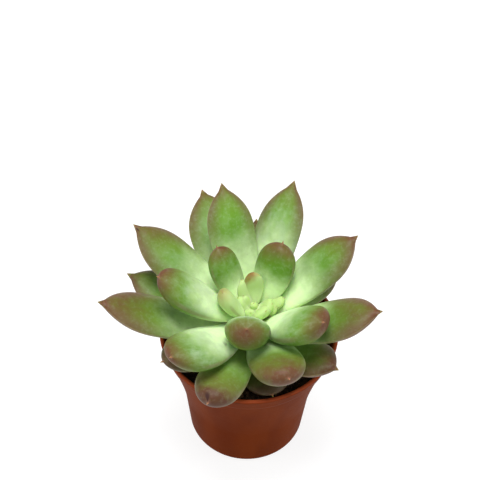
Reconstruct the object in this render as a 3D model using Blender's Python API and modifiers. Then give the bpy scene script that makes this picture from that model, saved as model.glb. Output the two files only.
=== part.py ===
"""Potted succulent: a rosette of fleshy pointed leaves in a small flared nursery pot.

Metres, +Z up. The pot stands on z = 0 with its axis on the origin, and its front faces -Y.
Every leaf, the stem, the soil and the pot is one named object.
"""
from math import cos, pi, radians, sin, sqrt

import bmesh
import bpy
from mathutils import Matrix, Vector

MM = 0.001
NAME = "potted_succulent"
GAP = 0.3 * MM                # left between pieces that touch

# Pot: a thin moulded bell, flared towards the rim, with a slightly thicker band round the top.
POT_HEIGHT = 46 * MM
RIM_RADIUS = 27.5 * MM
FOOT_RADIUS = 17.9 * MM
WALL = 1.0 * MM
FLOOR = 1.4 * MM
TAPER = 0.10                  # how fast the lower wall widens with height
FLARE_START = 17 * MM         # height where the wall starts to bell out
FLARE_POWER = 1.5
BAND_HEIGHT = 5.6 * MM
BAND_STEP = 0.3 * MM
FOOT_ROUNDING = 2.2 * MM
WALL_STEPS = 12               # rings along the wall
TURN_STEPS = 64               # facets round the pot and the soil
DRAIN_HOLES = 5
DRAIN_RADIUS = 2.4 * MM
DRAIN_CIRCLE = 11 * MM        # radius of the circle that the drain holes lie on
HOLE_STEPS = 16

# Soil and stem.
SOIL_DROP = 3.4 * MM          # rim to soil
MOUND = 0.3 * MM              # how much the soil rises towards the stem
STEM_RADIUS = 3.2 * MM
COLLAR_RADIUS = 4.2 * MM      # the stem's thicker foot, set into the soil
COLLAR_DEPTH = 7 * MM
STEM_DOME = 2.8 * MM          # height of the stem's rounded top
STEM_STEPS = 24

# Rosette: leaf 0 is the youngest, and each older leaf stands a golden angle on and a pitch lower.
PLANT_SCALE = 1.0             # whole plant against the leaf table below
CENTRE = Vector((0.8 * MM, -1.2 * MM, 0))
FIRST_AZIMUTH = 302.5         # degrees from +X, seen from above
GOLDEN_ANGLE = 137.5
LEAF_PITCH = 0.45 * MM
CROWN_LEAVES = 8              # the youngest leaves, which stand on the stem's rounded top
CROWN_DROP = 1.0 * MM
CROWN_PITCH = 0.1 * MM
SEAT_GAP = 0.6 * MM           # a leaf's seat to the stem's skin
CROWN_GAP = 1.4 * MM          # the crown's seats to the stem's top
REST_GAP = 0.4 * MM           # the lowest leaf to the soil or the rim that it lies over
REST_STEPS = 40               # places tried each way on a leaf when the plant is set down
LEAF_RINGS = 12
LEAF_SIDES = 12
BUD_RINGS = 8
BUD_SIDES = 8
FLATTER_TOP = 0.7             # a leaf's upper bulge against its lower one
POINT_LENGTH = 1.3 * MM       # the small hard point on each leaf
POINT_RADIUS = 0.8 * MM
POINT_DEPTH = 0.8             # the point's thickness against its width
YOUNG_POINT = 0.4 * MM        # length of the point on the youngest leaves and the buds
ROUNDED_END = 0.05            # share of a leaf's length in which its seat rounds off
WIDTH_RISE = 1.0              # how fast a leaf widens from its seat; above 1 starts slower
DEPTH_RISE = 1.2
SEAT_SPREAD = 0.8             # how evenly the crown's seats spread over the rounded top
SEAT_WIDTH = (0.7, 0.3, 4.0)  # a seat's least width in mm, its share of the leaf's, and its most
SEAT_DEPTH = (0.9, 0.19, 2.0)

# A leaf's outline and its thickness: place of the widest spot, fullness beyond it, and closing power.
OUTLINES = {
    "pointed": ((0.63, 2.5, 0.95), (0.66, 2.2, 0.7)),
    "oval": ((0.64, 2.8, 0.72), (0.68, 3.0, 0.6)),
    "blunt": ((0.62, 2.6, 0.58), (0.67, 2.8, 0.55)),
}

# Tilt and curl in degrees; length, width and thickness in millimetres; turn in degrees;
# sway, the sideways bow of the middle, in millimetres; outline.
LEAVES = (
    (56, 10, 6.0, 4.4, 2.4, 6, 0, "blunt"),
    (71, 10, 12.8, 5.8, 3.1, 10, -0.2, "blunt"),
    (62, 14, 15.8, 7.0, 4.6, -14.5, 0.2, "blunt"),
    (42, 10, 6.0, 4.0, 2.6, 2, 0, "blunt"),
    (62, 12, 23.5, 10.0, 6.6, 10, 0, "blunt"),
    (48, 22, 22.5, 11.8, 8.4, -5, 0, "blunt"),
    (61, 14, 23, 12.0, 7.4, 8, 0, "blunt"),
    (42.4, 8, 32, 13.2, 7.2, 4, 0, "blunt"),
    (41, 10, 29.5, 14.6, 7.8, -1, 0, "blunt"),
    (41, 6, 38.3, 14.2, 6.8, 8.8, 0, "pointed"),
    (26.5, 18, 35, 14.8, 7.0, -7.5, 0.2, "blunt"),
    (38, 14, 37.7, 15.2, 7.4, 10.5, 0.9, "pointed"),
    (29, 4, 42.2, 15.4, 7, 0.4, 0.3, "pointed"),
    (24, 14, 31, 15.6, 8.0, 0.3, 0, "blunt"),
    (33, 8, 42, 13.8, 7.2, 5.4, 0.7, "pointed"),
    (26, 20, 46.4, 15.6, 6.2, -12.2, 0, "pointed"),
    (29.3, 8, 39.5, 16.4, 6.8, 4.3, -0.6, "pointed"),
    (22, 4, 42.7, 17.2, 6.6, -7, 0, "pointed"),
    (14, 12, 34, 14.2, 8.4, -6.5, 0, "blunt"),
    (15, 8, 30, 12, 7, 1, 0, "pointed"),
    (14.5, 4, 37.4, 15.2, 6.2, -9.5, 0.8, "pointed"),
    (15, 10, 29.5, 14.4, 6.2, 12, 0, "pointed"),
    (13, 8, 35, 12.6, 6.8, 2, 0, "pointed"),
    (12, 8, 28.5, 11.4, 5.2, -11.5, -0.4, "blunt"),
    (3, 4, 21, 10, 5, 4, 0, "pointed"),
    (4, 6, 25, 11, 5.2, -3, 0, "pointed"),
    (6, 6, 22, 13.6, 5, 8, 0, "blunt"),
)
# The closed buds in the middle: azimuth and tilt in degrees; length, width and thickness in millimetres.
BUDS = (
    (165, 72, 4.8, 1.6, 1.4),
    (27, 78, 3.2, 1.4, 1.2),
)
BUD_CURL = 4
BUD_BASE = 0.75               # share of a bud's width and thickness that its seat has
BUD_OFFSET = 1.1 * MM         # from the stem's axis
BUD_DROP = 0.1 * MM           # a bud's seat under the crown

# Colours are linear; each is followed by a roughness.
MATERIALS = {
    "pot_plastic": ((0.24, 0.065, 0.028, 1), 0.42),
    "potting_soil": ((0.018, 0.011, 0.007, 1), 0.95),
    "stem_bark": ((0.16, 0.15, 0.07, 1), 0.75),
    "leaf_young": ((0.42, 0.50, 0.16, 1), 0.45),
    "leaf_green": ((0.18, 0.31, 0.10, 1), 0.42),
    "leaf_shaded": ((0.11, 0.17, 0.065, 1), 0.48),
}
YOUNG_LEAVES = 4              # leaves of the first colour
SHADED_FROM = 18              # the first leaf of the last colour


def clear_scene():
    """Remove the objects that Blender starts with."""
    for thing in list(bpy.data.objects):
        bpy.data.objects.remove(thing, do_unlink=True)


def make_collection(name):
    """A new collection in the scene."""
    collection = bpy.data.collections.new(name)
    bpy.context.scene.collection.children.link(collection)
    return collection


def make_material(name):
    """A Principled material with one of the colours above."""
    colour, roughness = MATERIALS[name]
    material = bpy.data.materials.new(name)
    material.use_nodes = True
    shader = material.node_tree.nodes["Principled BSDF"]
    shader.inputs["Base Color"].default_value = colour
    shader.inputs["Roughness"].default_value = roughness
    shader.inputs["Metallic"].default_value = 0.0
    material.diffuse_color = colour
    return material


def add_object(name, mesh, collection, material=None):
    """A named, smooth-shaded object in a collection."""
    thing = bpy.data.objects.new(name, mesh)
    collection.objects.link(thing)
    if material:
        mesh.materials.append(material)
    mesh.shade_smooth()
    return thing


def turned(name, outline, steps, collection, material):
    """A solid of revolution; the outline of (radius, height) ends on the axis at both ends."""
    mesh = bpy.data.meshes.new(name)
    points = [(radius, 0, height) for radius, height in outline]
    mesh.from_pydata(points, [(i, i + 1) for i in range(len(points) - 1)], [])
    thing = add_object(name, mesh, collection, material)
    screw = thing.modifiers.new("turn", "SCREW")
    screw.steps = steps
    screw.render_steps = steps
    screw.use_merge_vertices = True
    screw.merge_threshold = 0.00001
    return thing


def arc(centre, radius, start, end, steps):
    """Points on an arc of (radius, height), from one angle in degrees to another."""
    angles = [radians(start + (end - start) * i / steps) for i in range(steps + 1)]
    return [(centre[0] + radius * cos(a), centre[1] + radius * sin(a)) for a in angles]


# ---------------------------------------------------------------- pot

def wall_radius(height):
    """Outer radius of the plain wall, without the band."""
    flare = RIM_RADIUS - BAND_STEP - FOOT_RADIUS - TAPER * POT_HEIGHT
    rise = max(0, (height - FLARE_START) / (POT_HEIGHT - FLARE_START))
    return FOOT_RADIUS + TAPER * height + flare * rise ** FLARE_POWER


def inner_radius(height):
    """Radius of the inside of the wall."""
    return wall_radius(height) - WALL


def heights(low, high, steps=WALL_STEPS):
    """Evenly spaced heights from one level to another."""
    return [low + (high - low) * i / steps for i in range(steps + 1)]


def make_pot(collection, cutters, material):
    """The pot with its band, rounded lip and drain holes."""
    band_bottom = POT_HEIGHT - BAND_HEIGHT
    lip = (WALL + BAND_STEP) / 2
    lip_level = POT_HEIGHT - lip
    inside = [(inner_radius(z), z) for z in heights(FLOOR, lip_level)]
    top = arc((inner_radius(lip_level) + lip, lip_level), lip, 180, 0, 6)
    band = [(wall_radius(z) + BAND_STEP, z) for z in heights(lip_level, band_bottom, 4)]
    outside = [(wall_radius(z), z) for z in heights(band_bottom - BAND_STEP, FOOT_ROUNDING)]
    foot_radius = wall_radius(FOOT_ROUNDING) - FOOT_ROUNDING
    foot = arc((foot_radius, FOOT_ROUNDING), FOOT_ROUNDING, 0, -90, 5)
    outline = [(0, FLOOR)] + inside + top[1:] + band[1:] + outside + foot[1:] + [(0, 0)]
    pot = turned("pot", outline, TURN_STEPS, collection, material)
    for i in range(DRAIN_HOLES):
        angle = 2 * pi * (i + 0.5) / DRAIN_HOLES
        place = Vector((DRAIN_CIRCLE * cos(angle), DRAIN_CIRCLE * sin(angle), FLOOR / 2))
        cut_round_hole(pot, f"drain_hole_{i}", place, DRAIN_RADIUS, 4 * FLOOR, HOLE_STEPS, cutters)
    return pot


def cut_round_hole(thing, name, place, radius, depth, steps, cutters):
    """Cuts an upright round hole in a piece, centred on a place."""
    builder = bmesh.new()
    bmesh.ops.create_cone(builder, cap_ends=True, segments=steps, radius1=radius, radius2=radius, depth=depth)
    mesh = bpy.data.meshes.new(name)
    builder.to_mesh(mesh)
    builder.free()
    cutter = add_object(name, mesh, cutters)
    cutter.location = place
    cutter.hide_render = True
    cutter.display_type = "WIRE"
    cut = thing.modifiers.new(name, "BOOLEAN")
    cut.operation = "DIFFERENCE"
    cut.solver = "EXACT"
    cut.object = cutter


# ---------------------------------------------------------------- soil and stem

def soil_level():
    """Height of the soil's edge."""
    return POT_HEIGHT - SOIL_DROP


def make_soil(collection, cutters, material):
    """The soil that fills the pot, with the hole that the stem's collar stands in."""
    edge = soil_level()
    hole = COLLAR_RADIUS * PLANT_SCALE + GAP
    reach = CENTRE.length
    bottom = edge - COLLAR_DEPTH * PLANT_SCALE - GAP
    side = [(inner_radius(z) - GAP, z) for z in heights(edge, FLOOR + GAP)]
    outline = [(0, edge + MOUND), (hole + reach, edge + MOUND)] + side + [(0, FLOOR + GAP)]
    soil = turned("soil", outline, TURN_STEPS, collection, material)
    depth = edge + MOUND + GAP - bottom
    middle = CENTRE + Vector((0, 0, bottom + depth / 2))
    cut_round_hole(soil, "collar_hole", middle, hole, depth, STEM_STEPS, cutters)
    return soil


def make_stem(crown, collection, material):
    """The short stem, from its collar in the soil to the rounded top under the buds."""
    edge = soil_level()
    radius = STEM_RADIUS * PLANT_SCALE
    dome = STEM_DOME * PLANT_SCALE
    shoulder = crown - CROWN_GAP * PLANT_SCALE - dome
    collar = COLLAR_RADIUS * PLANT_SCALE
    foot = edge - COLLAR_DEPTH * PLANT_SCALE
    top = [(radius * cos(t), shoulder + dome * sin(t)) for t in (radians(90 - 15 * i) for i in range(7))]
    top[0] = (0, shoulder + dome)
    lower = [(collar, edge + MOUND), (collar, foot + collar / 3), (collar * 2 / 3, foot), (0, foot)]
    neck = edge + MOUND + (shoulder - edge - MOUND) / 4
    stem = turned("stem", top + [(radius, neck)] + lower, STEM_STEPS, collection, material)
    stem.location = CENTRE
    return stem


# ---------------------------------------------------------------- leaves

def swelling(along, base, peak, fullness, closing, rise):
    """Share of a leaf's full width or thickness at a place along it."""
    if along < peak:
        return base + (1 - base) * sin(pi / 2 * along / peak) ** rise
    return max(0, 1 - ((along - peak) / (1 - peak)) ** fullness) ** closing


def half_sizes(leaf, along):
    """Half the leaf's width and thickness at a place along it, with the point at its end."""
    length, width, thickness = leaf["length"], leaf["width"], leaf["thickness"]
    point = leaf["point"] / length
    body = min(1, along / (1 - point))
    outline, depth = OUTLINES[leaf["outline"]]
    half_width = width / 2 * swelling(body, leaf["base_width"] / width, *outline, WIDTH_RISE)
    half_depth = thickness / 2 * swelling(body, leaf["base_thickness"] / thickness, *depth, DEPTH_RISE)
    seat = sqrt(1 - (1 - min(1, along / ROUNDED_END)) ** 2)
    sharp = POINT_RADIUS * leaf["point"] / POINT_LENGTH
    spike = sharp * min(1, (1 - along) / (2 * point)) if along > 0.5 else 0
    return max(half_width * seat, spike), max(half_depth * seat, POINT_DEPTH * spike)


def leaf_point(leaf, along, around):
    """A place on a leaf's skin: along is 0 at the stem and 1 at the tip, around an angle."""
    start = radians(leaf["tilt"] - leaf["curl"] / 2)
    bend = radians(leaf["curl"])
    pitch = start + bend * along
    out = leaf["length"] * (sin(pitch) - sin(start)) / bend
    up = leaf["length"] * (cos(start) - cos(pitch)) / bend
    half_width, half_depth = half_sizes(leaf, along)
    bulge = FLATTER_TOP if sin(around) > 0 else 1
    lift = half_depth * sin(around) * bulge * 2 / (1 + FLATTER_TOP)
    aside = leaf["sway"] * sin(pi * along)
    local = Vector((out - lift * sin(pitch), aside + half_width * cos(around), up + lift * cos(pitch)))
    local.x += leaf["seat_radius"]
    local.z += leaf["seat_level"]
    return CENTRE + Matrix.Rotation(radians(leaf["azimuth"]), 3, "Z") @ local


def leaf_seat(number):
    """Distance from the stem's axis and level under the crown of a leaf's seat."""
    reach = (STEM_RADIUS + SEAT_GAP) * PLANT_SCALE
    if number >= CROWN_LEAVES:
        first = CROWN_DROP + (CROWN_LEAVES + 3) * CROWN_PITCH
        return reach, -(first + LEAF_PITCH * (number - CROWN_LEAVES)) * PLANT_SCALE
    share = pi / 2 * (number + 1) / (CROWN_LEAVES + 1)
    level = -(CROWN_DROP * (1 - cos(share)) + CROWN_PITCH * number) * PLANT_SCALE
    return reach * sin(share) ** SEAT_SPREAD, level


def base_size(size, least, share, most):
    """A leaf's width or thickness at its seat, which grows with the leaf up to a limit."""
    return min(most, least + share * size)


def leaf_table():
    """Every leaf and bud as named sizes in metres."""
    leaves = []
    for number, row in enumerate(LEAVES):
        tilt, curl, length, width, thickness, turn, sway, outline = row
        seat_radius, seat_level = leaf_seat(number)
        leaves.append({
            "name": f"leaf_{number:02d}", "number": number, "outline": outline,
            "tilt": tilt, "curl": curl, "rings": LEAF_RINGS, "sides": LEAF_SIDES,
            "azimuth": FIRST_AZIMUTH + GOLDEN_ANGLE * number + turn,
            "length": length * MM * PLANT_SCALE,
            "width": width * MM * PLANT_SCALE,
            "thickness": thickness * MM * PLANT_SCALE,
            "base_width": base_size(width, *SEAT_WIDTH) * MM * PLANT_SCALE,
            "base_thickness": base_size(thickness, *SEAT_DEPTH) * MM * PLANT_SCALE,
            "sway": sway * MM * PLANT_SCALE,
            "point": YOUNG_POINT if number < YOUNG_LEAVES else POINT_LENGTH,
            "seat_radius": seat_radius, "seat_level": seat_level,
        })
    for number, (azimuth, tilt, length, width, thickness) in enumerate(BUDS, 1):
        leaves.append({
            "name": f"bud_{number}", "number": -number, "outline": "blunt",
            "tilt": tilt, "curl": BUD_CURL, "rings": BUD_RINGS, "sides": BUD_SIDES,
            "azimuth": azimuth, "sway": 0, "point": YOUNG_POINT,
            "length": length * MM * PLANT_SCALE,
            "width": width * MM * PLANT_SCALE,
            "thickness": thickness * MM * PLANT_SCALE,
            "base_width": BUD_BASE * width * MM * PLANT_SCALE,
            "base_thickness": BUD_BASE * thickness * MM * PLANT_SCALE,
            "seat_radius": BUD_OFFSET * PLANT_SCALE, "seat_level": -BUD_DROP,
        })
    return leaves


def crown_level(leaves):
    """Height of the crown at which the lowest leaf clears the soil and the rim."""
    inside = inner_radius(POT_HEIGHT) - REST_GAP
    outside = RIM_RADIUS + REST_GAP
    crown = 0
    for leaf in leaves:
        for step in range(REST_STEPS * REST_STEPS):
            along = (step // REST_STEPS) / REST_STEPS
            spot = leaf_point(leaf, along, 2 * pi * (step % REST_STEPS) / REST_STEPS)
            reach = spot.xy.length
            floor = POT_HEIGHT if reach > inside else soil_level() + MOUND
            if reach < outside:
                crown = max(crown, floor + REST_GAP - spot.z)
    return crown


def make_leaf(leaf, crown, collection, material):
    """One leaf: a sphere whose poles become the seat and the tip."""
    builder = bmesh.new()
    bmesh.ops.create_uvsphere(builder, u_segments=leaf["sides"], v_segments=leaf["rings"], radius=1)
    for vert in builder.verts:
        along = (1 + max(-1, min(1, vert.co.z))) / 2
        around = Vector((1, 0)).angle_signed(vert.co.xy, 0) if vert.co.xy.length > 1e-6 else 0
        vert.co = leaf_point(leaf, along, -around) + Vector((0, 0, crown))
    mesh = bpy.data.meshes.new(leaf["name"])
    builder.to_mesh(mesh)
    builder.free()
    return add_object(leaf["name"], mesh, collection, material)


def leaf_material(number):
    """Name of the material of a leaf of this age."""
    if number < YOUNG_LEAVES:
        return "leaf_young"
    return "leaf_shaded" if number >= SHADED_FROM else "leaf_green"


def main():
    clear_scene()
    collection = make_collection(NAME)
    cutters = make_collection("cutters")
    materials = {name: make_material(name) for name in MATERIALS}
    make_pot(collection, cutters, materials["pot_plastic"])
    make_soil(collection, cutters, materials["potting_soil"])
    leaves = leaf_table()
    crown = crown_level(leaves)
    make_stem(crown, collection, materials["stem_bark"])
    for leaf in leaves:
        make_leaf(leaf, crown, collection, materials[leaf_material(leaf["number"])])


main()
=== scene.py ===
import random
from math import atan2, cos, pi, radians, sin, sqrt, tau

import bmesh
import bpy
from mathutils import Matrix, Vector, noise
from mathutils.bvhtree import BVHTree


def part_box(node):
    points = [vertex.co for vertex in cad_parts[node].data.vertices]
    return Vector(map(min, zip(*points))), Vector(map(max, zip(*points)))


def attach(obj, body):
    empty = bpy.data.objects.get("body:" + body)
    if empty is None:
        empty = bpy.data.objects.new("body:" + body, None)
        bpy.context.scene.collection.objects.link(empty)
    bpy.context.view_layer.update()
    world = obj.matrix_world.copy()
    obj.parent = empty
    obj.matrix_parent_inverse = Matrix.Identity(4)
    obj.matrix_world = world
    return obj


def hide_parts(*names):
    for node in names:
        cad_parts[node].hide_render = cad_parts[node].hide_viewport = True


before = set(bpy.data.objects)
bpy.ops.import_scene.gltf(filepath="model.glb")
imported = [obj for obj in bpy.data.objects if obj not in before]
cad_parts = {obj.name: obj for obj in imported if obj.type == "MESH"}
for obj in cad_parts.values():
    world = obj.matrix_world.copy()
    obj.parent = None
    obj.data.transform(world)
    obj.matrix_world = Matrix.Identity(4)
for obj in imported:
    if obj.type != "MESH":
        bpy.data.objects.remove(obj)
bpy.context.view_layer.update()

MM = 0.001

# The frame gives the pot's height and rim, and the stem's axis and top.
POT_LOW, POT_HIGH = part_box("pot")
_, SOIL_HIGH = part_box("soil")
STEM_LOW, STEM_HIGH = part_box("stem")
POT_HEIGHT = POT_HIGH.z
RIM_RADIUS = (POT_HIGH.x - POT_LOW.x) / 2
SOIL_LEVEL = SOIL_HIGH.z
STEM_AXIS = Vector(((STEM_LOW.x + STEM_HIGH.x) / 2, (STEM_LOW.y + STEM_HIGH.y) / 2, 0))
STEM_TOP_TO_CROWN = 1.4 * MM
CROWN = STEM_HIGH.z + STEM_TOP_TO_CROWN

# Pot: the wall's law and its thicknesses, as the CAD pot has them.
FOOT_RADIUS = 17.9 * MM
WALL = 1.0 * MM
FLOOR = 1.4 * MM
TAPER = 0.10
FLARE_START = 17 * MM
FLARE_POWER = 1.5
BAND_HEIGHT = 5.6 * MM
BAND_STEP = 0.3 * MM
FOOT_ROUNDING = 2.2 * MM
DRAIN_HOLES = 5
DRAIN_RADIUS = 2.4 * MM
DRAIN_CIRCLE = 11 * MM
GAP = 0.3 * MM
POT_FACETS, SOIL_FACETS, STEM_FACETS = 160, 180, 72
WALL_STEPS = 30
BAND_STEPS = 8
ROUND_STEPS = 12
SOIL_RINGS = 60
SOIL_UNEVENNESS = 0.4 * MM
SOIL_EDGE = 1.2 * MM             # strip by the wall in which the soil's lumps die out
LOOSE_CRUMBS, FIBRES, SPILT_CRUMBS = 1500, 90, 26

# Rosette: the same law of growth as the CAD leaves follow.
STEM_RADIUS = 3.2 * MM
STEM_DOME = 2.8 * MM
SEAT_GAP = 0.6 * MM
FIRST_AZIMUTH = 302.5
GOLDEN_ANGLE = 137.5
LEAF_PITCH = 0.45 * MM
CROWN_LEAVES = 8
CROWN_DROP = 1.0 * MM
CROWN_PITCH = 0.1 * MM
FLATTER_TOP = 0.7
POINT_LENGTH = 1.3 * MM
POINT_RADIUS = 0.8 * MM
TIP_SPREAD = 2.0         # a pointed leaf narrows into its point; a blunt one has a small bristle
YOUNG_POINT = 0.4 * MM
POINT_DEPTH = 0.8        # the point's thickness against its width
ROUNDED_END = 0.05
WIDTH_RISE = 1.0         # how fast a leaf widens from its seat; above 1 starts slower
DEPTH_RISE = 1.2
SEAT_SPREAD = 0.8        # how evenly the crown's seats spread over the rounded top
SEAT_WIDTH = (0.7, 0.3, 4.0)     # a seat's least width in mm, its share of the leaf's, and its most
SEAT_DEPTH = (0.9, 0.19, 2.0)
YOUNG_LEAVES = 4         # leaves of the first colour
OUTLINES = {
    "pointed": ((0.63, 2.5, 0.95), (0.66, 2.2, 0.7)),
    "oval": ((0.64, 2.8, 0.72), (0.68, 3.0, 0.6)),
    "blunt": ((0.62, 2.6, 0.58), (0.67, 2.8, 0.55)),
}
KEEL = {"pointed": 0.45, "oval": 0.2, "blunt": 0.0}     # how crisp the margin is towards the tip
LEAF_RINGS = 88
LEAF_SIDES = 60
SHADED_FROM = 18         # the first leaf that lies under others

# Tilt and curl in degrees; length, width and thickness in millimetres; turn in degrees;
# sway, the sideways bow of the middle, in millimetres; outline.
LEAVES = (
    (56, 10, 6.0, 4.4, 2.4, 6, 0, "blunt"),
    (71, 10, 12.8, 5.8, 3.1, 10, -0.2, "blunt"),
    (62, 14, 15.8, 7.0, 4.6, -14.5, 0.2, "blunt"),
    (42, 10, 6.0, 4.0, 2.6, 2, 0, "blunt"),
    (62, 12, 23.5, 10.0, 6.6, 10, 0, "blunt"),
    (48, 22, 22.5, 11.8, 8.4, -5, 0, "blunt"),
    (61, 14, 23, 12.0, 7.4, 8, 0, "blunt"),
    (42.4, 8, 32, 13.2, 7.2, 4, 0, "blunt"),
    (41, 10, 29.5, 14.6, 7.8, -1, 0, "blunt"),
    (41, 6, 38.3, 14.2, 6.8, 8.8, 0, "pointed"),
    (26.5, 18, 35, 14.8, 7.0, -7.5, 0.2, "blunt"),
    (38, 14, 37.7, 15.2, 7.4, 10.5, 0.9, "pointed"),
    (29, 4, 42.2, 15.4, 7, 0.4, 0.3, "pointed"),
    (24, 14, 31, 15.6, 8.0, 0.3, 0, "blunt"),
    (33, 8, 42, 13.8, 7.2, 5.4, 0.7, "pointed"),
    (26, 20, 46.4, 15.6, 6.2, -12.2, 0, "pointed"),
    (29.3, 8, 39.5, 16.4, 6.8, 4.3, -0.6, "pointed"),
    (22, 4, 42.7, 17.2, 6.6, -7, 0, "pointed"),
    (14, 12, 34, 14.2, 8.4, -6.5, 0, "blunt"),
    (15, 8, 30, 12, 7, 1, 0, "pointed"),
    (14.5, 4, 37.4, 15.2, 6.2, -9.5, 0.8, "pointed"),
    (15, 10, 29.5, 14.4, 6.2, 12, 0, "pointed"),
    (13, 8, 35, 12.6, 6.8, 2, 0, "pointed"),
    (12, 8, 28.5, 11.4, 5.2, -11.5, -0.4, "blunt"),
    (3, 4, 21, 10, 5, 4, 0, "pointed"),
    (4, 6, 25, 11, 5.2, -3, 0, "pointed"),
    (6, 6, 22, 13.6, 5, 8, 0, "blunt"),
)
# Where the finished skin is fuller than the simple solid: longer, wider and thicker by these shares.
FULLER = {
    2: (1.00, 1.10, 1.10), 5: (1.02, 1.12, 1.16), 7: (1.03, 1.04, 1.10), 8: (1.00, 1.06, 1.12),
    10: (1.01, 1.06, 1.12), 6: (1.00, 1.02, 1.04), 4: (1.00, 1.02, 1.04), 23: (1.00, 1.15, 1.10),
}
# The closed buds: azimuth and tilt in degrees; length, width and thickness in millimetres.
BUDS = ((165, 72, 4.8, 1.6, 1.4), (27, 78, 3.2, 1.4, 1.2))
AS_SOLID = (1, 1, 1)
BUD_CURL = 4
BUD_BASE = 0.75          # share of a bud's width and thickness that its seat has
BUD_OFFSET = 1.1 * MM    # from the stem's axis
BUD_DROP = 0.1 * MM      # a bud's seat under the crown
# The tiny leaves that close the crown: azimuth, tilt, length, width, thickness, distance from the axis.
CROWN_SCALES = (
    (124, 60, 10.5, 5.2, 3.0, 1.0),
    (168, 56, 6.8, 4.6, 3.4, 0.8),
    (148, 64, 6.4, 3.6, 2.6, 0.6),
    (318, 50, 7.4, 6.4, 3.2, 0.8),
    (352, 48, 7.6, 5.6, 3.2, 0.9),
    (17, 24, 9.4, 4.6, 3.2, 1.5),
    (262, 56, 5.0, 4.4, 2.8, 0.6),
    (70, 80, 3.6, 3.0, 2.6, 0.4),
)

# How each leaf has coloured: the strength of its blush, where along it that starts, how far the
# start leans across the leaf, how thick its waxy bloom is, and how much painted shade darkens it under
# others.
TONES = (
    (0.10, 0.80, 0.0, 0.10, 0.00),
    (1.00, 0.72, -0.2, 0.15, 0.00),
    (0.45, 0.74, 0.1, 0.30, 0.00),
    (0.05, 0.85, 0.0, 0.10, 0.00),
    (1.00, 0.69, 0.1, 0.30, 0.00),
    (0.92, 0.69, 0.0, 1.00, 0.00),
    (1.00, 0.62, -0.1, 0.15, 0.00),
    (0.95, 0.62, 0.1, 0.75, 0.00),
    (0.95, 0.66, -0.1, 0.60, 0.00),
    (0.90, 0.73, 0.0, 0.20, 0.00),
    (0.90, 0.64, 0.1, 0.80, 0.00),
    (0.95, 0.62, -0.1, 0.30, 0.00),
    (0.95, 0.59, 0.1, 0.35, 0.00),
    (1.00, 0.50, 0.1, 0.25, 0.05),
    (0.95, 0.68, 0.0, 0.60, 0.00),
    (0.95, 0.48, 0.1, 0.25, 0.00),
    (1.00, 0.50, -0.1, 0.25, 0.00),
    (0.95, 0.68, 0.0, 0.35, 0.00),
    (0.95, 0.50, 0.0, 0.20, 0.00),
    (0.90, 0.64, 0.0, 0.30, 0.20),
    (0.95, 0.66, 0.0, 0.40, 0.10),
    (0.95, 0.50, 0.0, 0.30, 0.00),
    (0.90, 0.59, 0.0, 0.30, 0.10),
    (1.00, 0.42, 0.0, 0.10, 0.30),
    (0.60, 0.60, 0.0, 0.25, 0.50),
    (0.60, 0.60, 0.0, 0.25, 0.50),
    (0.95, 0.42, 0.0, 0.10, 0.50),
)
BUD_TONE = (0.0, 0.9, 0.0, 0.05, 0.0)

# Old knocks: leaf, place along it, place across it, radius in millimetres.
SCARS = ((12, 0.955, 0.55, 1.0), (18, 0.95, -0.30, 1.6), (14, 0.50, -0.1, 0.45), (10, 0.42, 0.55, 0.5))


# ---------------------------------------------------------------- shader maths

class Link:
    """A socket of a material's tree. Arithmetic on it adds Math nodes."""

    def __init__(self, tree, socket=None):
        self.tree = tree
        self.socket = socket

    def node(self, kind, settings, sockets, output=0):
        """Adds a node: its settings first, then the values or links of its sockets."""
        made = self.tree.nodes.new(kind)
        for name, value in settings.items():
            setattr(made, name, value)
        for key, value in sockets.items():
            if isinstance(value, Link):
                self.tree.links.new(value.socket, made.inputs[key])
            else:
                made.inputs[key].default_value = value
        return Link(self.tree, made.outputs[output])

    def math(self, operation, first, second=0.0):
        return self.node("ShaderNodeMath", {"operation": operation}, {0: first, 1: second})

    def __add__(self, other):
        return self.math("ADD", self, other)

    def __sub__(self, other):
        return self.math("SUBTRACT", self, other)

    def __rsub__(self, other):
        return self.math("SUBTRACT", other, self)

    def __mul__(self, other):
        return self.math("MULTIPLY", self, other)

    def __truediv__(self, other):
        return self.math("DIVIDE", self, other)

    def __abs__(self):
        return self.math("ABSOLUTE", self)

    __radd__ = __add__
    __rmul__ = __mul__

    def step(self, low, high):
        """Rises smoothly from 0 at low to 1 at high."""
        return self.node("ShaderNodeMapRange", {"interpolation_type": "SMOOTHSTEP"},
                         {"Value": self, "From Min": low, "From Max": high})


def blend(link, factor, first, second):
    """One colour into another."""
    pair = {6: first, 7: second}
    colours = {key: value if isinstance(value, Link) else (*value, 1.0) for key, value in pair.items()}
    return link.node("ShaderNodeMix", {"data_type": "RGBA"}, {0: factor, **colours}, 2)


def object_place(link):
    return link.node("ShaderNodeTexCoord", {}, {}, "Object")


def stretched(link, place, scale):
    """A place with each axis scaled by its own amount."""
    return link.node("ShaderNodeVectorMath", {"operation": "MULTIPLY"}, {0: place, 1: scale})


def clouds(link, place, scale, detail=3.0, roughness=0.5):
    return link.node("ShaderNodeTexNoise", {},
                     {"Vector": place, "Scale": scale, "Detail": detail, "Roughness": roughness})


def cells(link, place, scale):
    return link.node("ShaderNodeTexVoronoi", {}, {"Vector": place, "Scale": scale})


def attribute(link, name):
    """The three parts of a vector that the mesh carries."""
    vector = link.node("ShaderNodeAttribute", {"attribute_name": name}, {}, "Vector")
    return [link.node("ShaderNodeSeparateXYZ", {}, {0: vector}, axis) for axis in range(3)]


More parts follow.
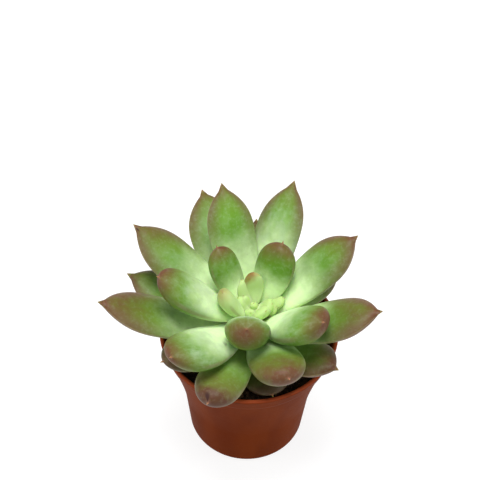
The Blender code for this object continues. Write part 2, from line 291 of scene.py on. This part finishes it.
def finish_material(name, colour, roughness, height, distance, fixed):
    """A Principled material; height feeds its bump, and fixed holds its constant sockets."""
    material = bpy.data.materials.new(name)
    material.use_nodes = True
    tree = material.node_tree
    shader = tree.nodes["Principled BSDF"]
    link = Link(tree)
    for key, value in fixed.items():
        shader.inputs[key].default_value = value
    bump = link.node("ShaderNodeBump", {}, {"Distance": distance, "Height": height(link)})
    tree.links.new(bump.socket, shader.inputs["Normal"])
    tree.links.new(colour(link).socket, shader.inputs["Base Color"])
    tree.links.new(roughness(link).socket, shader.inputs["Roughness"])
    return material


# ---------------------------------------------------------------- materials

LEAF_PALETTES = {
    "leaf_young": {
        "pale": (0.70, 0.84, 0.48), "body": (0.48, 0.64, 0.27), "deep": (0.42, 0.58, 0.18),
        "end": (0.32, 0.24, 0.06), "flush": (0.26, 0.14, 0.04),
    },
    "leaf_green": {
        "pale": (0.80, 1.0, 0.56), "body": (0.155, 0.325, 0.026), "deep": (0.092, 0.240, 0.005),
        "end": (0.128, 0.132, 0.024), "flush": (0.140, 0.060, 0.027),
    },
    "leaf_shaded": {
        "pale": (0.44, 0.62, 0.18), "body": (0.200, 0.380, 0.050), "deep": (0.130, 0.290, 0.020),
        "end": (0.135, 0.130, 0.030), "flush": (0.105, 0.045, 0.022),
    },
}
BLOOM = (0.46, 0.58, 0.40)
MAUVE = (0.165, 0.096, 0.056)
EDGE = (0.30, 0.24, 0.13)
POINT = (0.36, 0.15, 0.10)
DRY_POINT = (0.17, 0.07, 0.045)
SCAR = (0.048, 0.018, 0.015)
SHADE = (0.045, 0.05, 0.022)


def leaf_colour(palette):
    """Pale at the seat, green along the body, olive and russet towards the tip."""
    def colour(link):
        along, across, rise = attribute(link, "place")
        blush, reach, lean = attribute(link, "tone")
        bloom, shade, scar = attribute(link, "state")
        tip, number, crisp = attribute(link, "size")
        place = object_place(link)
        broad = clouds(link, place, 90, 2.0)
        mottle = clouds(link, place, 260, 4.0, 0.6)
        fine = clouds(link, place, 900, 3.0, 0.6)
        grain = link.node("ShaderNodeCombineXYZ", {},
                          {0: across * 1.6, 1: along * 5.0 + number * 3.7, 2: rise * 1.6})
        streaks = clouds(link, grain, 1.3, 4.0, 0.6)
        face = rise.step(-0.5, 0.4)
        skin = blend(link, broad.step(0.15, 0.85), palette["deep"], palette["body"])
        powdered = rise.step(0.1, 0.9) * bloom * bloom
        pale = 1.0 - (along - 0.26 * powdered + (mottle - 0.5) * 0.25).step(0.20, 0.66)
        pale = pale * (0.85 + 0.3 * streaks)
        skin = blend(link, pale, skin, palette["pale"])
        dust = 0.75 * bloom * (0.25 + 0.75 * face) * (mottle * 0.4 + streaks * 0.8).step(0.38, 0.90)
        start = reach + lean * across + rise * 0.04 + 0.12 * powdered + (streaks - 0.5) * 0.16
        zone = (along - start).step(-0.06, 0.24)
        skin = blend(link, dust * (1.0 - 0.9 * zone), skin, BLOOM)
        patch = (broad * 0.5 + mottle * 0.5).step(0.36, 0.62)
        skin = blend(link, zone * blush * (0.70 + 0.30 * patch), skin, palette["end"])
        margin = abs(across).step(0.30, 0.94) * along.step(0.38, 0.82) * (0.1 + 0.9 * crisp)
        under = (1.0 - face) * along.step(0.40, 0.9) * crisp
        skin = blend(link, blush * (0.9 * margin + 0.5 * under) * (0.7 + 0.4 * streaks), skin, MAUVE)
        around_point = 1.0 - tip.step(1.0, 4.5)
        red = (along - start).step(0.10, 0.44) * (0.30 + 0.65 * patch) + 0.55 * around_point
        skin = blend(link, blush * red, skin, palette["flush"])
        edge = abs(across).step(0.965, 0.998) * along.step(0.15, 0.5)
        edge = edge * (1.0 - along.step(0.70, 0.84) * (1.0 - crisp))
        skin = blend(link, 0.45 * edge, skin, EDGE)
        skin = blend(link, fine.step(0.45, 0.7) * (0.12 - 0.06 * zone), skin, BLOOM)
        # painted shade: leaves that lie under others are darkened towards SHADE by their shade value
        skin = blend(link, shade, skin, SHADE)
        specks = 1.0 - cells(link, place, 420).step(0.05, 0.13)
        skin = blend(link, 0.35 * specks * broad.step(0.5, 0.7), skin, SCAR)
        point = blend(link, crisp, POINT, DRY_POINT)
        skin = blend(link, (1.0 - tip.step(0.5, 1.2)) * 0.8, skin, point)
        return blend(link, scar, skin, SCAR)
    return colour


def leaf_roughness(link):
    bloom, _, scar = attribute(link, "state")
    mottle = clouds(link, object_place(link), 260, 4.0, 0.6)
    return 0.36 + 0.12 * bloom + 0.14 * mottle + 0.15 * scar


def leaf_height(link):
    """Fine waxy skin over slow dents."""
    place = object_place(link)
    dents = clouds(link, place, 150, 2.0)
    lumps = clouds(link, place, 420, 2.0)
    skin = clouds(link, place, 2600, 3.0, 0.6)
    return dents * 1.0 + lumps * 0.25 + skin * 0.08


def leaf_material(slot):
    """Watery flesh that lets some light through, under a waxy skin."""
    fixed = {"Subsurface Weight": 0.30, "Subsurface Scale": 0.0030,
             "Subsurface Radius": (0.6, 1.0, 0.25), "Specular IOR Level": 0.18}
    colour = leaf_colour(LEAF_PALETTES[slot])
    return finish_material(slot, colour, leaf_roughness, leaf_height, 0.22 * MM, fixed)


def pot_colour(link):
    """Dyed plastic with faint flow marks, scuffs and a little soil dust, and a painted highlight along
    the top of the lip.
    """
    place = object_place(link)
    height = link.node("ShaderNodeSeparateXYZ", {}, {0: place}, 2) / MM
    flow = clouds(link, stretched(link, place, (1, 1, 0.25)), 95, 4.0, 0.55)
    speck = clouds(link, place, 1500, 3.0, 0.7)
    colour = blend(link, flow.step(0.3, 0.7), (0.122, 0.018, 0.001), (0.158, 0.026, 0.002))
    colour = blend(link, speck.step(0.55, 0.8) * 0.35, colour, (0.17, 0.036, 0.007))
    # painted highlight: the top of the rounded lip is made lighter and redder
    lip = height.step(POT_HEIGHT / MM - 0.8, POT_HEIGHT / MM - 0.1)
    colour = blend(link, lip * 0.85, colour, (0.38, 0.075, 0.028))
    dust = clouds(link, place, 320, 6.0, 0.7).step(0.52, 0.72) * height.step(36.0, 46.0)
    colour = blend(link, dust * 0.35, colour, (0.055, 0.028, 0.016))
    scuff = clouds(link, stretched(link, place, (1, 1, 6)), 240, 5.0, 0.75).step(0.60, 0.72)
    return blend(link, scuff * 0.18, colour, (0.20, 0.050, 0.016))


def pot_roughness(link):
    place = object_place(link)
    return 0.42 + 0.14 * clouds(link, place, 300, 5.0, 0.7) + 0.06 * clouds(link, place, 60)


def pot_height(link):
    place = object_place(link)
    rings = clouds(link, stretched(link, place, (0.15, 0.15, 1)), 900, 2.0)
    return 0.5 * clouds(link, place, 1800, 3.0, 0.6) + 0.35 * rings + 0.8 * clouds(link, place, 60)


def soil_colour(link):
    """Moist peat: almost black, with browner crumbs and pale dust."""
    tint, wet, _ = attribute(link, "grain")
    place = object_place(link)
    fine = clouds(link, place, 1400, 6.0, 0.7)
    colour = blend(link, fine.step(0.3, 0.75), (0.014, 0.0070, 0.0040), (0.095, 0.046, 0.025))
    colour = blend(link, tint, colour, (0.210, 0.110, 0.060))
    return blend(link, wet * 0.5, colour, (0.004, 0.0025, 0.002))


def soil_roughness(link):
    return 0.72 + 0.25 * clouds(link, object_place(link), 900, 4.0, 0.7)


def soil_height(link):
    place = object_place(link)
    return clouds(link, place, 1500, 8.0, 0.75) + 0.5 * cells(link, place, 900)


def stem_colour(link):
    """Green-brown skin with corky, paler leaf scars."""
    place = object_place(link)
    bark = clouds(link, stretched(link, place, (1, 1, 2.5)), 420, 6.0, 0.65)
    colour = blend(link, bark.step(0.3, 0.7), (0.10, 0.105, 0.035), (0.25, 0.19, 0.10))
    cork = clouds(link, place, 1200, 4.0, 0.7).step(0.6, 0.75)
    return blend(link, cork * 0.5, colour, (0.34, 0.26, 0.15))


def stem_roughness(link):
    return 0.6 + 0.25 * clouds(link, object_place(link), 800, 4.0, 0.6)


def stem_height(link):
    place = object_place(link)
    bark = clouds(link, stretched(link, place, (1, 1, 3)), 500, 6.0, 0.7)
    return bark + 0.4 * cells(link, place, 700)


def make_materials():
    """Every material of the object, by its slot."""
    materials = {slot: leaf_material(slot) for slot in LEAF_PALETTES}
    pot_fixed = {"Specular IOR Level": 0.012}
    materials["pot_plastic"] = finish_material(
        "pot_plastic", pot_colour, pot_roughness, pot_height, 0.00006, pot_fixed)
    materials["potting_soil"] = finish_material(
        "potting_soil", soil_colour, soil_roughness, soil_height, 0.0006, {"Specular IOR Level": 0.3})
    materials["stem_bark"] = finish_material(
        "stem_bark", stem_colour, stem_roughness, stem_height, 0.0003, {"Specular IOR Level": 0.4})
    return materials


# ---------------------------------------------------------------- pieces

def add_piece(name, mesh, materials, slot, *nodes):
    """A finished piece on the only body, standing for its CAD node."""
    piece = bpy.data.objects.new(name, mesh)
    bpy.context.scene.collection.objects.link(piece)
    mesh.materials.append(materials[slot])
    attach(piece, "root")
    if nodes:
        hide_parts(*nodes)
    return piece


def mesh_from(builder, name, smooth=True):
    """The bmesh as a mesh, with smooth faces unless it is a rough piece."""
    mesh = bpy.data.meshes.new(name)
    builder.to_mesh(mesh)
    builder.free()
    if smooth:
        mesh.shade_smooth()
    return mesh


def set_vectors(mesh, name, values):
    """Stores one vector for each vertex."""
    layer = mesh.attributes.new(name, "FLOAT_VECTOR", "POINT")
    layer.data.foreach_set("vector", [part for value in values for part in value])


def swelling(along, base, peak, fullness, closing, rise):
    """Share of a leaf's full width or thickness at a place along it."""
    if along < peak:
        return base + (1 - base) * sin(pi / 2 * along / peak) ** rise
    return max(0, 1 - ((along - peak) / (1 - peak)) ** fullness) ** closing


def half_sizes(leaf, along):
    """Half the leaf's width and thickness at a place along it, with the point at its end."""
    width, thickness = leaf["width"], leaf["thickness"]
    point = leaf["point"] / leaf["length"]
    body = min(1, along / (1 - point))
    outline, depth = OUTLINES[leaf["outline"]]
    half_width = width / 2 * swelling(body, leaf["base_width"] / width, *outline, WIDTH_RISE)
    half_depth = thickness / 2 * swelling(body, leaf["base_thickness"] / thickness, *depth, DEPTH_RISE)
    seat = sqrt(1 - (1 - min(1, along / ROUNDED_END)) ** 2)
    sharp = POINT_RADIUS * leaf["point"] / POINT_LENGTH
    spike = sharp * min(1, (1 - along) / (2 * point)) if along > 0.5 else 0
    spread = TIP_SPREAD if leaf["outline"] == "pointed" else 1
    return max(half_width * seat, spread * spike), max(half_depth * seat, POINT_DEPTH * spike)


def smooth_step(value, low, high):
    share = max(0, min(1, (value - low) / (high - low)))
    return share * share * (3 - 2 * share)


def leaf_point(leaf, along, around):
    """A place on a leaf's skin: along is 0 at the stem and 1 at the tip, around an angle."""
    start = radians(leaf["tilt"] - leaf["curl"] / 2)
    bend = radians(leaf["curl"])
    pitch = start + bend * along
    out = leaf["length"] * (sin(pitch) - sin(start)) / bend
    up = leaf["length"] * (cos(start) - cos(pitch)) / bend
    half_width, half_depth = half_sizes(leaf, along)
    crisp = 1 + leaf["keel"] * smooth_step(along, 0.2, 0.8) * (1 - smooth_step(along, 0.93, 0.99))
    height = abs(sin(around)) ** crisp
    flat = FLATTER_TOP + (1 - FLATTER_TOP) * smooth_step(along, 0.75, 1.0)
    bulge = flat if sin(around) > 0 else -1
    lift = half_depth * height * bulge * 2 / (1 + flat)
    aside = leaf["sway"] * sin(pi * along)
    local = Vector((out - lift * sin(pitch), aside + half_width * cos(around), up + lift * cos(pitch)))
    local.x += leaf["seat_radius"]
    local.z += leaf["seat_level"]
    turned = Matrix.Rotation(radians(leaf["azimuth"]), 3, "Z") @ local
    return STEM_AXIS + turned + Vector((0, 0, CROWN))


def leaf_seat(number):
    """Distance from the stem's axis and level under the crown of a leaf's seat."""
    reach = STEM_RADIUS + SEAT_GAP
    if number >= CROWN_LEAVES:
        first = CROWN_DROP + (CROWN_LEAVES + 3) * CROWN_PITCH
        return reach, -(first + LEAF_PITCH * (number - CROWN_LEAVES))
    share = pi / 2 * (number + 1) / (CROWN_LEAVES + 1)
    return reach * sin(share) ** SEAT_SPREAD, -(CROWN_DROP * (1 - cos(share)) + CROWN_PITCH * number)


def seat_size(size, rule):
    """A seat's width or thickness in millimetres, from its leaf's."""
    least, share, most = rule
    return min(most, least + share * size)


def leaf_table():
    """Every leaf and bud as named sizes in metres."""
    leaves = []
    for number, row in enumerate(LEAVES):
        tilt, curl, length, width, thickness, turn, sway, outline = row
        seat_radius, seat_level = leaf_seat(number)
        older = "leaf_shaded" if number >= SHADED_FROM else "leaf_green"
        slot = "leaf_young" if number < YOUNG_LEAVES else older
        longer, wider, thicker = FULLER.get(number, AS_SOLID)
        length, width, thickness = length * longer, width * wider, thickness * thicker
        leaves.append({
            "name": f"leaf_{number:02d}", "number": number, "slot": slot, "tone": TONES[number],
            "outline": outline, "keel": KEEL[outline], "tilt": tilt, "curl": curl,
            "azimuth": FIRST_AZIMUTH + GOLDEN_ANGLE * number + turn,
            "length": length * MM, "width": width * MM, "thickness": thickness * MM,
            "base_width": seat_size(width, SEAT_WIDTH) * MM,
            "base_thickness": seat_size(thickness, SEAT_DEPTH) * MM,
            "sway": sway * MM, "point": POINT_LENGTH if number >= YOUNG_LEAVES else YOUNG_POINT,
            "seat_radius": seat_radius, "seat_level": seat_level,
            "rings": LEAF_RINGS, "sides": LEAF_SIDES,
        })
    for number, (azimuth, tilt, length, width, thickness) in enumerate(BUDS, 1):
        leaves.append({
            "name": f"bud_{number}", "number": -number, "slot": "leaf_young", "tone": BUD_TONE,
            "outline": "blunt", "keel": KEEL["blunt"], "tilt": tilt, "curl": BUD_CURL,
            "azimuth": azimuth, "length": length * MM, "width": width * MM, "thickness": thickness * MM,
            "base_width": BUD_BASE * width * MM, "base_thickness": BUD_BASE * thickness * MM,
            "sway": 0, "point": YOUNG_POINT,
            "seat_radius": BUD_OFFSET, "seat_level": -BUD_DROP,
            "rings": LEAF_RINGS // 2, "sides": LEAF_SIDES // 2,
        })
    for number, (azimuth, tilt, length, width, thickness, offset) in enumerate(CROWN_SCALES, 1):
        leaves.append({**leaves[-1], "name": f"crown_scale_{number}", "azimuth": azimuth, "tilt": tilt,
                       "length": length * MM, "width": width * MM, "thickness": thickness * MM,
                       "base_width": BUD_BASE * width * MM, "base_thickness": BUD_BASE * thickness * MM,
                       "seat_radius": offset * MM, "number": -number - len(BUDS)})
    return leaves


def scar_depth(leaf, along, around):
    """How dark an old knock makes a place on a leaf, from 0 to 1."""
    dark = 0
    for number, spot_along, spot_across, radius in SCARS:
        if number == leaf["number"] and sin(around) > 0:
            reach = leaf["length"] / MM * (along - spot_along)
            side = leaf["width"] / MM / 2 * (cos(around) - spot_across) * 0.6
            dark = max(dark, 1 - smooth_step(sqrt(reach ** 2 + side ** 2), 0.4 * radius, radius))
    return dark


def make_leaf(leaf, materials):
    """One leaf: a sphere whose poles become the seat and the tip, with its places stored for colour."""
    builder = bmesh.new()
    bmesh.ops.create_uvsphere(builder, u_segments=leaf["sides"], v_segments=leaf["rings"], radius=1)
    places, sizes, states = [], [], []
    blush, reach, lean, bloom, shade = leaf["tone"]
    for vert in builder.verts:
        along = (1 + max(-1, min(1, vert.co.z))) / 2
        around = atan2(vert.co.y, vert.co.x)
        places.append((along, cos(around), sin(around)))
        sizes.append(((1 - along) * leaf["length"] / leaf["point"], leaf["number"], leaf["keel"] > 0))
        states.append((bloom, shade, scar_depth(leaf, along, around)))
        vert.co = leaf_point(leaf, along, around)
    mesh = mesh_from(builder, leaf["name"] + "_skin")
    set_vectors(mesh, "place", places)
    set_vectors(mesh, "size", sizes)
    set_vectors(mesh, "state", states)
    set_vectors(mesh, "tone", [(blush, reach, lean)] * len(places))
    nodes = [leaf["name"]] if leaf["name"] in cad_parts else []
    return add_piece(leaf["name"] + "_skin", mesh, materials, leaf["slot"], *nodes)


def wall_radius(height):
    """Outer radius of the pot's plain wall, without the band."""
    flare = RIM_RADIUS - BAND_STEP - FOOT_RADIUS - TAPER * POT_HEIGHT
    rise = max(0, (height - FLARE_START) / (POT_HEIGHT - FLARE_START))
    return FOOT_RADIUS + TAPER * height + flare * rise ** FLARE_POWER


def levels(low, high, steps):
    return [low + (high - low) * i / steps for i in range(steps + 1)]


def arc(centre, radius, start, end, steps):
    """Points on an arc of (radius, height), from one angle in degrees to another."""
    angles = [radians(start + (end - start) * i / steps) for i in range(steps + 1)]
    return [(centre[0] + radius * cos(a), centre[1] + radius * sin(a)) for a in angles]


def turned(outline, steps):
    """A bmesh of an outline of (radius, height) spun round the Z axis."""
    builder = bmesh.new()
    verts = [builder.verts.new((radius, 0, height)) for radius, height in outline]
    edges = [builder.edges.new(pair) for pair in zip(verts, verts[1:])]
    bmesh.ops.spin(builder, geom=verts + edges, axis=(0, 0, 1), cent=(0, 0, 0), angle=tau,
                   steps=steps, use_merge=True)
    bmesh.ops.remove_doubles(builder, verts=builder.verts, dist=0.001 * MM)
    bmesh.ops.recalc_face_normals(builder, faces=builder.faces)
    return builder


def make_pot(materials):
    """The moulded pot: rounded lip, band, flared wall and a floor with drain holes."""
    band_bottom = POT_HEIGHT - BAND_HEIGHT
    lip = (WALL + BAND_STEP) / 2
    lip_level = POT_HEIGHT - lip
    inside = [(wall_radius(z) - WALL, z) for z in levels(FLOOR, lip_level, WALL_STEPS)]
    top = arc((wall_radius(lip_level) - WALL + lip, lip_level), lip, 180, 0, ROUND_STEPS)
    band = [(wall_radius(z) + BAND_STEP, z) for z in levels(lip_level, band_bottom, BAND_STEPS)]
    outside = [(wall_radius(z), z) for z in levels(band_bottom - BAND_STEP, FOOT_ROUNDING, WALL_STEPS)]
    foot = arc((wall_radius(FOOT_ROUNDING) - FOOT_ROUNDING, FOOT_ROUNDING), FOOT_ROUNDING, 0, -90, 8)
    outline = [(0, FLOOR)] + inside + top[1:] + band[1:] + outside + foot[1:] + [(0, 0)]
    builder = turned(outline, POT_FACETS)
    pot = add_piece("pot_shell", mesh_from(builder, "pot_shell"), materials, "pot_plastic", "pot")
    cutters = bmesh.new()
    for i in range(DRAIN_HOLES):
        angle = tau * (i + 0.5) / DRAIN_HOLES
        place = Matrix.Translation((DRAIN_CIRCLE * cos(angle), DRAIN_CIRCLE * sin(angle), FLOOR / 2))
        bmesh.ops.create_cone(cutters, cap_ends=True, segments=40, radius1=DRAIN_RADIUS,
                              radius2=DRAIN_RADIUS, depth=4 * FLOOR, matrix=place)
    cutter = bpy.data.objects.new("drain_cutter", mesh_from(cutters, "drain_cutter", False))
    bpy.context.scene.collection.objects.link(cutter)
    cut = pot.modifiers.new("drain_holes", "BOOLEAN")
    cut.solver = "EXACT"
    cut.object = cutter
    apply_modifiers(pot)
    bpy.data.objects.remove(cutter)
    pot.data.set_sharp_from_angle(angle=radians(40))
    return pot


def apply_modifiers(piece):
    """Keeps the piece's mesh as its modifiers leave it."""
    graph = bpy.context.evaluated_depsgraph_get()
    mesh = bpy.data.meshes.new_from_object(piece.evaluated_get(graph), depsgraph=graph)
    piece.modifiers.clear()
    piece.data = mesh


def soil_rise(x, y):
    """Height of the crumbly surface over its level at a place."""
    place = Vector((x, y, 0)) / MM
    lumps = noise.noise(place * 0.28) * 0.5 + noise.noise(place * 0.9) * 0.28
    return (lumps + noise.noise(place * 2.6) * 0.16) * MM


def make_soil(materials):
    """The soil's body, with an uneven surface and the hole round the stem's collar."""
    bottom = FLOOR + GAP
    edge = SOIL_LEVEL - SOIL_UNEVENNESS
    side = [(wall_radius(z) - WALL - GAP / 2, z) for z in levels(edge, bottom, 20)]
    surface = [(side[0][0] * i / SOIL_RINGS, edge) for i in range(SOIL_RINGS + 1)]
    builder = turned(surface + side[1:] + [(0, bottom)], SOIL_FACETS)
    collar = (STEM_HIGH.x - STEM_LOW.x) / 2 + GAP
    grains = []
    for vert in builder.verts:
        if vert.co.z > edge - 0.01 * MM:
            reach = vert.co.xy.length
            away = (vert.co.xy - STEM_AXIS.xy).length
            taper = 1 - smooth_step(reach, side[0][0] - SOIL_EDGE, side[0][0])
            vert.co.z += soil_rise(vert.co.x, vert.co.y) * taper
            vert.co.z -= (SOIL_LEVEL - STEM_LOW.z) * (1 - smooth_step(away, collar, collar + 0.5 * MM))
        grains.append((0.0, 0.5, 0.0))
    mesh = mesh_from(builder, "soil_body")
    set_vectors(mesh, "grain", grains)
    return add_piece("soil_body", mesh, materials, "potting_soil", "soil")


def crumb(builder, place, size, chance, tints):
    """One angular crumb of peat."""
    squash = Vector((size * chance.uniform(0.7, 1.2), size * chance.uniform(0.7, 1.2),
                     size * chance.uniform(0.5, 0.9)))
    spin = Matrix.Rotation(chance.uniform(0, tau), 4, Vector((chance.random(), chance.random(), 1)))
    matrix = Matrix.Translation(place) @ spin @ Matrix.Diagonal((*squash, 1))
    made = bmesh.ops.create_icosphere(builder, subdivisions=1, radius=1, matrix=matrix)
    tint = chance.random() ** 3
    for vert in made["verts"]:
        vert.co = place + (vert.co - place) * chance.uniform(0.75, 1.2)
        tints.append((tint * 0.8, chance.random() * 0.5, 0))


def fibre(builder, start, heading, length, radius, chance, tints):
    """One curved root hair or peat fibre."""
    made = bmesh.ops.create_uvsphere(builder, u_segments=5, v_segments=9, radius=1)
    bend, lift = chance.uniform(-1.4, 1.4), chance.uniform(0.05, 0.35)
    across = Vector((-sin(heading), cos(heading), 0))
    forward = Vector((cos(heading), sin(heading), 0))
    tint = chance.uniform(0.3, 1.0)
    for vert in made["verts"]:
        share = (1 + vert.co.z) / 2
        path = forward * share + across * bend * share * (1 - share)
        path += Vector((0, 0, lift * sin(pi * share)))
        skin = across * vert.co.x * radius + Vector((0, 0, vert.co.y * radius))
        vert.co = start + path * length + skin
        tints.append((tint, 0, 0))


def make_crumbs(trees, materials):
    """Loose crumbs and fibres on the soil, and a few spilt over the rim."""
    chance = random.Random(11)
    builder = bmesh.new()
    tints = []
    limit = wall_radius(SOIL_LEVEL) - WALL - 0.5 * MM
    collar = (STEM_HIGH.x - STEM_LOW.x) / 2
    for i in range(LOOSE_CRUMBS):
        reach, angle = limit * sqrt(chance.random()), chance.uniform(0, tau)
        size = chance.choice((0.25, 0.3, 0.35, 0.45, 0.55, 0.75)) * MM
        spot = Vector((reach * cos(angle), reach * sin(angle), 0))
        spot.z = SOIL_LEVEL - SOIL_UNEVENNESS + soil_rise(spot.x, spot.y) + 0.3 * size
        if (spot.xy - STEM_AXIS.xy).length < collar + size or too_close(trees, spot, 1.25 * size):
            continue
        if reach + size < limit:
            crumb(builder, spot, size, chance, tints)
    for i in range(FIBRES):
        reach, angle = (limit - 4 * MM) * sqrt(chance.random()), chance.uniform(0, tau)
        spot = Vector((reach * cos(angle), reach * sin(angle), SOIL_LEVEL + 0.2 * MM))
        length = chance.uniform(1.5, 4.0) * MM
        if not too_close(trees, spot, length):
            heading, radius = chance.uniform(0, tau), chance.uniform(0.05, 0.11) * MM
            fibre(builder, spot, heading, length, radius, chance, tints)
    for i in range(SPILT_CRUMBS):
        angle = radians(chance.gauss(14, 5))
        reach = RIM_RADIUS - WALL * chance.uniform(0.1, 2.2)
        size = chance.uniform(0.3, 0.75) * MM
        base = POT_HEIGHT if reach > RIM_RADIUS - 1.2 * WALL else POT_HEIGHT - 1.2 * MM
        spot = Vector((reach * cos(angle), reach * sin(angle), base + 0.55 * size))
        if not too_close(trees, spot, 1.25 * size):
            crumb(builder, spot, size, chance, tints)
    mesh = mesh_from(builder, "soil_crumbs", False)
    set_vectors(mesh, "grain", tints)
    return add_piece("soil_crumbs", mesh, materials, "potting_soil")


def search_tree(mesh):
    """The mesh's faces, ready for finding the nearest one."""
    return BVHTree.FromPolygons([v.co for v in mesh.vertices], [p.vertices for p in mesh.polygons])


def too_close(trees, spot, reach):
    """Whether any leaf's skin is within reach of a spot."""
    return any(tree.find_nearest(spot, reach)[0] is not None for tree in trees)


def make_stem(materials):
    """The short stem, ringed with the scars of fallen leaves."""
    shoulder = STEM_HIGH.z - STEM_DOME
    turns = [radians(90 - 7.5 * i) for i in range(1, 13)]
    dome = [(STEM_RADIUS * cos(t), shoulder + STEM_DOME * sin(t)) for t in turns]
    dome = [(0, STEM_HIGH.z)] + dome
    collar = (STEM_HIGH.x - STEM_LOW.x) / 2
    neck = SOIL_LEVEL + (shoulder - SOIL_LEVEL) / 4
    straight = [(STEM_RADIUS, z) for z in levels(shoulder, neck, 24)]
    swell = [(STEM_RADIUS + (collar - STEM_RADIUS) * smooth_step(z, neck, SOIL_LEVEL), z)
             for z in levels(neck, SOIL_LEVEL, 10)]
    foot = [(collar, STEM_LOW.z + collar / 3), (collar * 2 / 3, STEM_LOW.z), (0, STEM_LOW.z)]
    builder = turned(dome + straight[1:] + swell[1:] + foot, STEM_FACETS)
    for vert in builder.verts:
        wander = 3 * noise.noise(vert.co / MM * 0.5)
        rough = noise.noise(vert.co / MM * 1.1) * 0.10 + 0.06 * sin(vert.co.z / MM * 9 + wander)
        away = Vector((vert.co.x, vert.co.y, 0))
        if away.length > 0.5 * MM:
            vert.co += away.normalized() * (rough - 0.1) * MM
        vert.co += STEM_AXIS
    return add_piece("stem_bark", mesh_from(builder, "stem_bark"), materials, "stem_bark", "stem")


# ---------------------------------------------------------------- floor, light and camera

def make_floor():
    """A plain pale sweep, large enough for every view."""
    builder = bmesh.new()
    bmesh.ops.create_grid(builder, x_segments=1, y_segments=1, size=3.0)
    floor = bpy.data.objects.new("floor", mesh_from(builder, "floor", False))
    bpy.context.scene.collection.objects.link(floor)
    material = bpy.data.materials.new("floor_paint")
    material.use_nodes = True
    shader = material.node_tree.nodes["Principled BSDF"]
    shader.inputs["Base Color"].default_value = (0.25, 0.25, 0.25, 1)
    shader.inputs["Roughness"].default_value = 0.9
    shader.inputs["Specular IOR Level"].default_value = 0.1
    shader.inputs["Emission Color"].default_value = (1, 1, 1, 1)
    shader.inputs["Emission Strength"].default_value = 0.85
    floor.data.materials.append(material)


def add_softbox(name, place, aim, size, power):
    """A large square light that faces a point."""
    lamp = bpy.data.lights.new(name, "AREA")
    lamp.shape = "SQUARE"
    lamp.size = size
    lamp.energy = power
    box = bpy.data.objects.new(name, lamp)
    bpy.context.scene.collection.objects.link(box)
    box.location = place
    box.rotation_euler = (Vector(aim) - Vector(place)).to_track_quat("-Z", "Y").to_euler()


def make_light():
    """A broad top light from behind, two side boxes and an even white surround."""
    world = bpy.data.worlds.new("studio")
    world.use_nodes = True
    world.node_tree.nodes["Background"].inputs["Color"].default_value = (1, 1, 1, 1)
    world.node_tree.nodes["Background"].inputs["Strength"].default_value = 0.28
    bpy.context.scene.world = world
    aim = (0, 0, 0.05)
    add_softbox("top_box", (-0.04, 0.06, 0.80), aim, 0.40, 6.2)
    add_softbox("left_box", (-0.75, -0.25, 0.40), aim, 0.5, 2.2)
    add_softbox("right_box", (0.75, -0.15, 0.40), aim, 0.5, 2.0)
    bpy.context.scene.view_settings.view_transform = "Standard"


def make_camera():
    """A short telephoto view from above the front."""
    lens = bpy.data.cameras.new("camera")
    lens.lens = 105.4
    camera = bpy.data.objects.new("camera", lens)
    bpy.context.scene.collection.objects.link(camera)
    elevation, distance, roll = radians(53.0), 0.430, radians(1.42)
    pivot = Vector((0, 0, 0.040))
    aim = Vector((-0.0034, 0, 0.0864))
    camera.location = pivot + distance * Vector((0, -cos(elevation), sin(elevation)))
    facing = (aim - camera.location).to_track_quat("-Z", "Y").to_matrix()
    camera.rotation_euler = (facing @ Matrix.Rotation(roll, 3, "Z")).to_euler()
    bpy.context.scene.camera = camera


def main():
    materials = make_materials()
    leaves = [make_leaf(leaf, materials) for leaf in leaf_table()]
    trees = [search_tree(leaf.data) for leaf in leaves]
    make_pot(materials)
    make_soil(materials)
    make_crumbs(trees, materials)
    make_stem(materials)
    make_floor()
    make_light()
    make_camera()


main()
